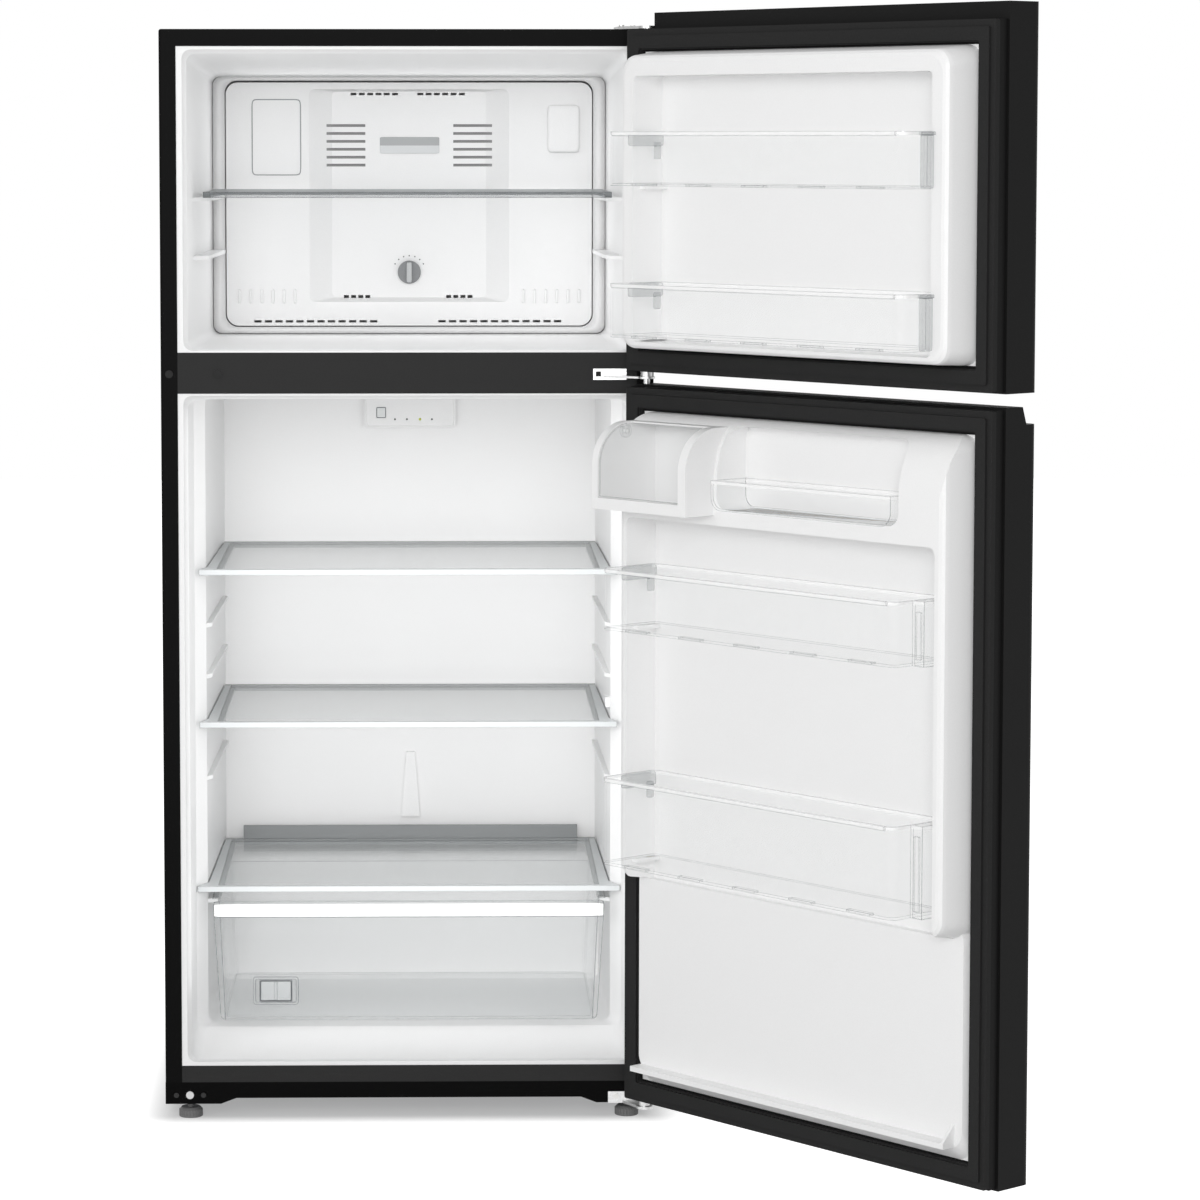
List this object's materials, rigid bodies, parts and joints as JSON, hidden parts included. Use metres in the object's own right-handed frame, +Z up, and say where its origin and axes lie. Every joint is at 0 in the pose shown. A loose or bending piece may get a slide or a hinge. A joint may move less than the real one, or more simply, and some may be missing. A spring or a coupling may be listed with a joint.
{
  "type": "top freezer refrigerator",
  "caption": "Upright top-freezer refrigerator with swing doors, glass shelves, clear door bins, a crisper drawer, a dairy compartment and a rear machine space.",
  "frame": {"origin": "on the floor, midway between the cabinet's sides, in the plane of the cabinet's front flange", "axes": "+X to the right seen from the front, +Y from the front to the back, +Z up"},
  "size_m": [1.2581, 1.3239, 1.709],
  "materials": {
    "black_enamel": "gloss",
    "dark_rail": "satin",
    "black_plastic": "satin",
    "plug_plastic": "satin",
    "zinc_steel": "satin",
    "foam": "matte",
    "white_liner": "satin",
    "seal_rubber": "matte",
    "silver_steel": "satin",
    "compressor_paint": "satin",
    "coil_metal": "satin",
    "motor_plastic": "matte",
    "clear_plastic": "clear",
    "shelf_glass": "clear",
    "shelf_trim": "satin",
    "knob_plastic": "satin",
    "pale_grey_plastic": "satin",
    "lamp_lens": "frosted"
  },
  "bodies": {
    "cabinet": {"cabinet_wrapper": "black_enamel", "rear_panel": "zinc_steel", "cabinet_foam": "foam", "freezer_liner": "white_liner", "fridge_liner": "white_liner", "center_mullion": "dark_rail", "bottom_rail": "dark_rail", "base_frame": "zinc_steel", "toe_grille": "black_plastic", "hole_plugs": "plug_plastic", "top_hinge": "silver_steel", "middle_hinge": "silver_steel", "bottom_hinge": "silver_steel", "hinge_screws": "silver_steel", "compressor": "compressor_paint", "condenser_coil": "coil_metal", "condenser_fan_motor": "motor_plastic", "drain_pan": "motor_plastic", "machine_cover": "motor_plastic", "evaporator_coil": "coil_metal", "evaporator_fan_motor": "motor_plastic", "defrost_heater": "coil_metal", "evaporator_cover": "white_liner", "damper_housing": "white_liner", "freezer_shelf": "clear_plastic", "upper_shelf_frame": "shelf_trim", "upper_shelf_glass": "shelf_glass", "lower_shelf_frame": "shelf_trim", "lower_shelf_glass": "shelf_glass", "crisper_cover_frame": "shelf_trim", "crisper_cover_glass": "shelf_glass", "control_panel": "white_liner", "interior_lamp": "lamp_lens"},
    "freezer_door": {"freezer_door_skin": "black_enamel", "freezer_door_foam": "foam", "freezer_door_liner": "white_liner", "freezer_door_gasket": "seal_rubber", "freezer_door_caps": "black_plastic"},
    "fridge_door": {"fridge_door_skin": "black_enamel", "fridge_door_foam": "foam", "fridge_door_liner": "white_liner", "fridge_door_gasket": "seal_rubber", "fridge_door_caps": "black_plastic", "dairy_housing": "white_liner"},
    "left_foot": {"left_foot": "black_plastic"},
    "right_foot": {"right_foot": "black_plastic"},
    "left_roller": {"left_roller": "black_plastic"},
    "right_roller": {"right_roller": "black_plastic"},
    "condenser_fan": {"condenser_fan": "motor_plastic"},
    "evaporator_fan": {"evaporator_fan": "motor_plastic"},
    "temperature_knob": {"temperature_knob": "knob_plastic"},
    "control_button": {"control_button": "pale_grey_plastic"},
    "crisper_drawer": {"crisper_drawer": "clear_plastic"},
    "humidity_slider": {"humidity_slider": "pale_grey_plastic"},
    "freezer_bin_upper": {"freezer_bin_upper": "clear_plastic"},
    "freezer_bin_lower": {"freezer_bin_lower": "clear_plastic"},
    "dairy_cover": {"dairy_cover": "clear_plastic"},
    "utility_tray": {"utility_tray": "clear_plastic"},
    "door_bin_upper": {"door_bin_upper": "clear_plastic"},
    "door_bin_lower": {"door_bin_lower": "clear_plastic"}
  },
  "joints": [
    {"name": "freezer_door_hinge", "type": "hinge", "parent": "cabinet", "child": "freezer_door", "pos_m": [0.365, -0.038, 1.44], "axis": [0, 0, 1], "range_deg": [-130, 0]},
    {"name": "fridge_door_hinge", "type": "hinge", "parent": "cabinet", "child": "fridge_door", "pos_m": [0.365, -0.038, 0.6], "axis": [0, 0, 1], "range_deg": [-130, 0]},
    {"name": "crisper_slide", "type": "slide", "parent": "cabinet", "child": "crisper_drawer", "axis": [0, -1, 0], "range_m": [0, 0.3]},
    {"name": "humidity_slide", "type": "slide", "parent": "crisper_drawer", "child": "humidity_slider", "axis": [1, 0, 0], "range_m": [-0.0055, 0.0055]},
    {"name": "dairy_flip", "type": "hinge", "parent": "fridge_door", "child": "dairy_cover", "pos_m": [0.38283, -0.19927, 1.082], "axis": [-0.6428, 0.766, 0], "range_deg": [0, 60]},
    {"name": "knob_turn", "type": "hinge", "parent": "cabinet", "child": "temperature_knob", "pos_m": [0, 0.505, 1.3], "axis": [0, -1, 0], "range_deg": [-60, 60]},
    {"name": "button_press", "type": "slide", "parent": "cabinet", "child": "control_button", "axis": [0, 1, 0], "range_m": [0, 0.001], "stiffness_N_per_m": 800, "springref_m": -0.001},
    {"name": "evaporator_fan_spin", "type": "hinge", "parent": "cabinet", "child": "evaporator_fan", "pos_m": [0, 0.527, 1.532], "axis": [0, 1, 0], "continuous": true},
    {"name": "condenser_fan_spin", "type": "hinge", "parent": "cabinet", "child": "condenser_fan", "pos_m": [-0.1, 0.602, 0.15], "axis": [1, 0, 0], "continuous": true},
    {"name": "left_roller_spin", "type": "hinge", "parent": "cabinet", "child": "left_roller", "pos_m": [-0.334, 0.6, 0.022], "axis": [1, 0, 0], "continuous": true},
    {"name": "right_roller_spin", "type": "hinge", "parent": "cabinet", "child": "right_roller", "pos_m": [0.334, 0.6, 0.022], "axis": [1, 0, 0], "continuous": true},
    {"name": "left_foot_turn", "type": "hinge", "parent": "cabinet", "child": "left_foot", "pos_m": [-0.34, 0.024, 0.02], "axis": [0, 0, 1], "continuous": true},
    {"name": "right_foot_turn", "type": "hinge", "parent": "cabinet", "child": "right_foot", "pos_m": [0.34, 0.024, 0.02], "axis": [0, 0, 1], "continuous": true},
    {"name": "freezer_bin_upper_lift", "type": "slide", "parent": "freezer_door", "child": "freezer_bin_upper", "axis": [0, 0, 1], "range_m": [0, 0.03]},
    {"name": "freezer_bin_lower_lift", "type": "slide", "parent": "freezer_door", "child": "freezer_bin_lower", "axis": [0, 0, 1], "range_m": [0, 0.03]},
    {"name": "door_bin_upper_lift", "type": "slide", "parent": "fridge_door", "child": "door_bin_upper", "axis": [0, 0, 1], "range_m": [0, 0.03]},
    {"name": "door_bin_lower_lift", "type": "slide", "parent": "fridge_door", "child": "door_bin_lower", "axis": [0, 0, 1], "range_m": [0, 0.03]},
    {"name": "utility_tray_lift", "type": "slide", "parent": "fridge_door", "child": "utility_tray", "axis": [0, 0, 1], "range_m": [0, 0.03]}
  ]
}
